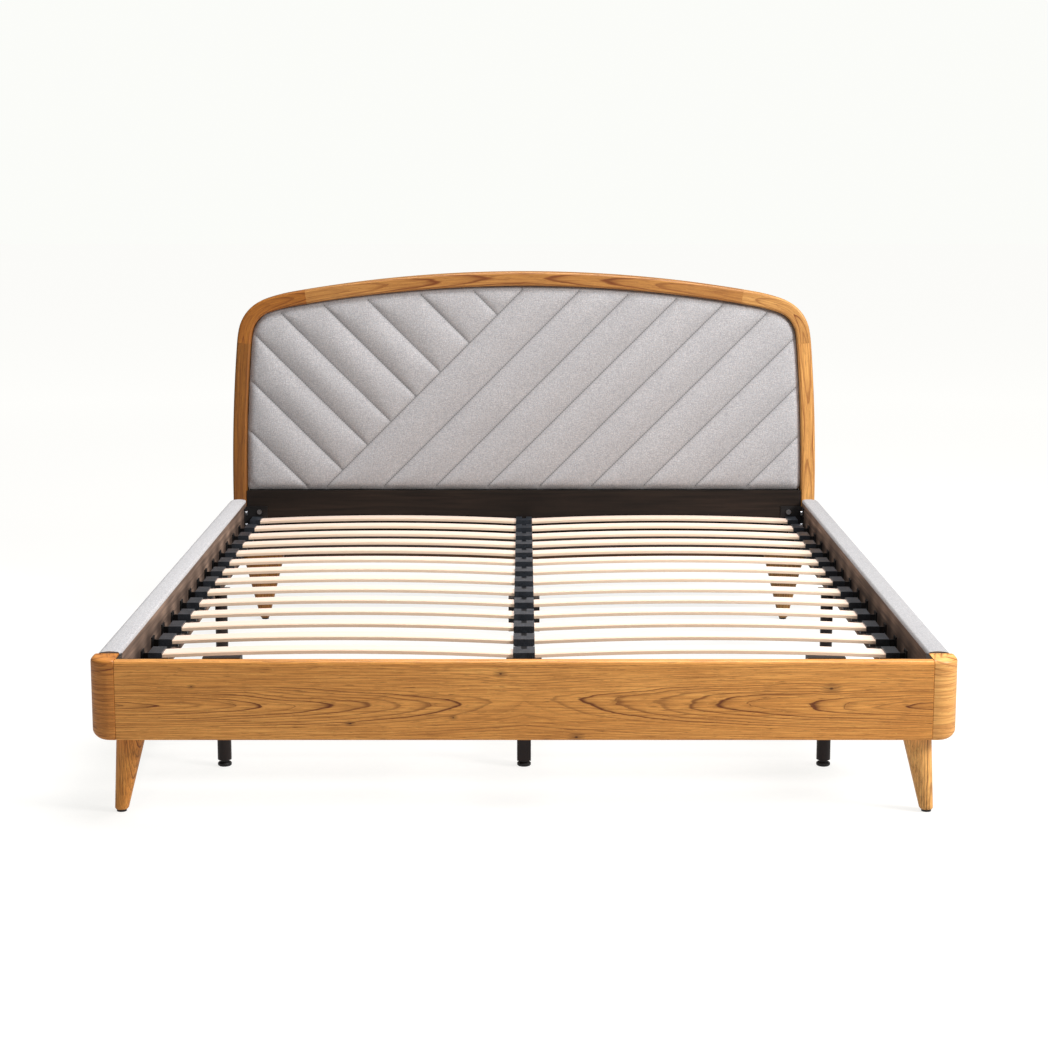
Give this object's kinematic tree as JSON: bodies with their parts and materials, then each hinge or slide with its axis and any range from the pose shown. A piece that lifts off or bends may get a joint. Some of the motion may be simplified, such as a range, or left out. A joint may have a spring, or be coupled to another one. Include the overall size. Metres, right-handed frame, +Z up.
{
  "type": "bed frame",
  "caption": "Oak bed frame with an arched, channel-stitched headboard, upholstered side rails, sprung slats on a steel slat frame and adjustable support legs.",
  "frame": {"origin": "on the floor, under the middle of the bed", "axes": "+Z up, +X across the bed to the right as seen from the foot end, +Y from the foot end to the headboard"},
  "size_m": [1.728, 2.11, 0.983],
  "materials": {
    "oak_panel": "satin oiled oak with a cathedral grain that runs across the bed",
    "oak_post": "satin oiled oak with the grain running round the corner",
    "oak_rim": "satin oiled oak with the grain following the rim",
    "oak_leg": "satin oiled oak with upright grain",
    "oak_strip": "dark oiled oak",
    "oak_inner": "plain sawn softwood",
    "rail_board": "dark brown laminated board, low sheen",
    "headboard_board": "raw chipboard",
    "rail_fabric": "light grey woven upholstery",
    "pad_fabric": "light grey woven upholstery with sewn channels",
    "back_fabric": "dark non-woven dust cover",
    "zinc_bolt": "bright zinc",
    "glide": "black plastic",
    "black_steel": "black powder coat",
    "dark_timber": "dark stained timber",
    "leg_tube": "dark brown powder coat",
    "holder_plastic": "slate grey plastic with a fine texture",
    "birch_slat": "pale birch plywood, smooth",
    "leveller_plastic": "black plastic"
  },
  "bodies": {
    "bed_frame": {"foot_panel": "oak_panel", "foot_post_left": "oak_post", "foot_post_right": "oak_post", "corner_blocks": "oak_inner", "side_rail_left": "rail_board", "side_rail_right": "rail_board", "headboard_lower_panel": "rail_board", "headboard_backboard": "headboard_board", "rail_cover_left": "rail_fabric", "rail_cover_right": "rail_fabric", "headboard_arch": "oak_rim", "headboard_corner_left": "oak_rim", "headboard_corner_right": "oak_rim", "headboard_post_left": "oak_rim", "headboard_post_right": "oak_rim", "headboard_pad": "pad_fabric", "headboard_back_cover": "back_fabric", "headboard_bottom_rail": "oak_strip", "oak_leg_foot_left": "oak_leg", "oak_leg_foot_right": "oak_leg", "oak_leg_head_left": "oak_leg", "oak_leg_head_right": "oak_leg", "oak_leg_bolts": "zinc_bolt", "bracket_bolts": "zinc_bolt", "oak_leg_glides": "glide", "slat_ledge_left": "black_steel", "slat_ledge_right": "black_steel", "ledge_brackets": "black_steel", "centre_beam": "black_steel", "beam_hangers": "black_steel", "cross_rail_foot": "black_steel", "corner_brackets": "black_steel", "support_leg_plates": "black_steel", "cross_rail_head": "dark_timber", "support_legs_foot": "leg_tube", "support_legs_mid": "leg_tube", "slat_holders_left": "holder_plastic", "slat_holders_right": "holder_plastic", "slat_holders_centre": "holder_plastic", "slat_row_01": "birch_slat", "slat_row_02": "birch_slat", "slat_row_03": "birch_slat", "slat_row_04": "birch_slat", "slat_row_05": "birch_slat", "slat_row_06": "birch_slat", "slat_row_07": "birch_slat", "slat_row_08": "birch_slat", "slat_row_09": "birch_slat", "slat_row_10": "birch_slat", "slat_row_11": "birch_slat", "slat_row_12": "birch_slat", "slat_row_13": "birch_slat", "slat_row_14": "birch_slat", "slat_row_15": "birch_slat"},
    "leveller_foot_left": {"leveller_foot_left": "leveller_plastic"},
    "leveller_foot_middle": {"leveller_foot_middle": "leveller_plastic"},
    "leveller_foot_right": {"leveller_foot_right": "leveller_plastic"},
    "leveller_mid_left": {"leveller_mid_left": "leveller_plastic"},
    "leveller_mid_middle": {"leveller_mid_middle": "leveller_plastic"},
    "leveller_mid_right": {"leveller_mid_right": "leveller_plastic"}
  },
  "joints": [
    {"name": "leveller_foot_left_travel", "type": "slide", "parent": "bed_frame", "child": "leveller_foot_left", "axis": [0, 0, -1], "range_m": [0, 0.012]},
    {"name": "leveller_foot_middle_travel", "type": "slide", "parent": "bed_frame", "child": "leveller_foot_middle", "axis": [0, 0, -1], "range_m": [0, 0.012]},
    {"name": "leveller_foot_right_travel", "type": "slide", "parent": "bed_frame", "child": "leveller_foot_right", "axis": [0, 0, -1], "range_m": [0, 0.012]},
    {"name": "leveller_mid_left_travel", "type": "slide", "parent": "bed_frame", "child": "leveller_mid_left", "axis": [0, 0, -1], "range_m": [0, 0.012]},
    {"name": "leveller_mid_middle_travel", "type": "slide", "parent": "bed_frame", "child": "leveller_mid_middle", "axis": [0, 0, -1], "range_m": [0, 0.012]},
    {"name": "leveller_mid_right_travel", "type": "slide", "parent": "bed_frame", "child": "leveller_mid_right", "axis": [0, 0, -1], "range_m": [0, 0.012]}
  ]
}
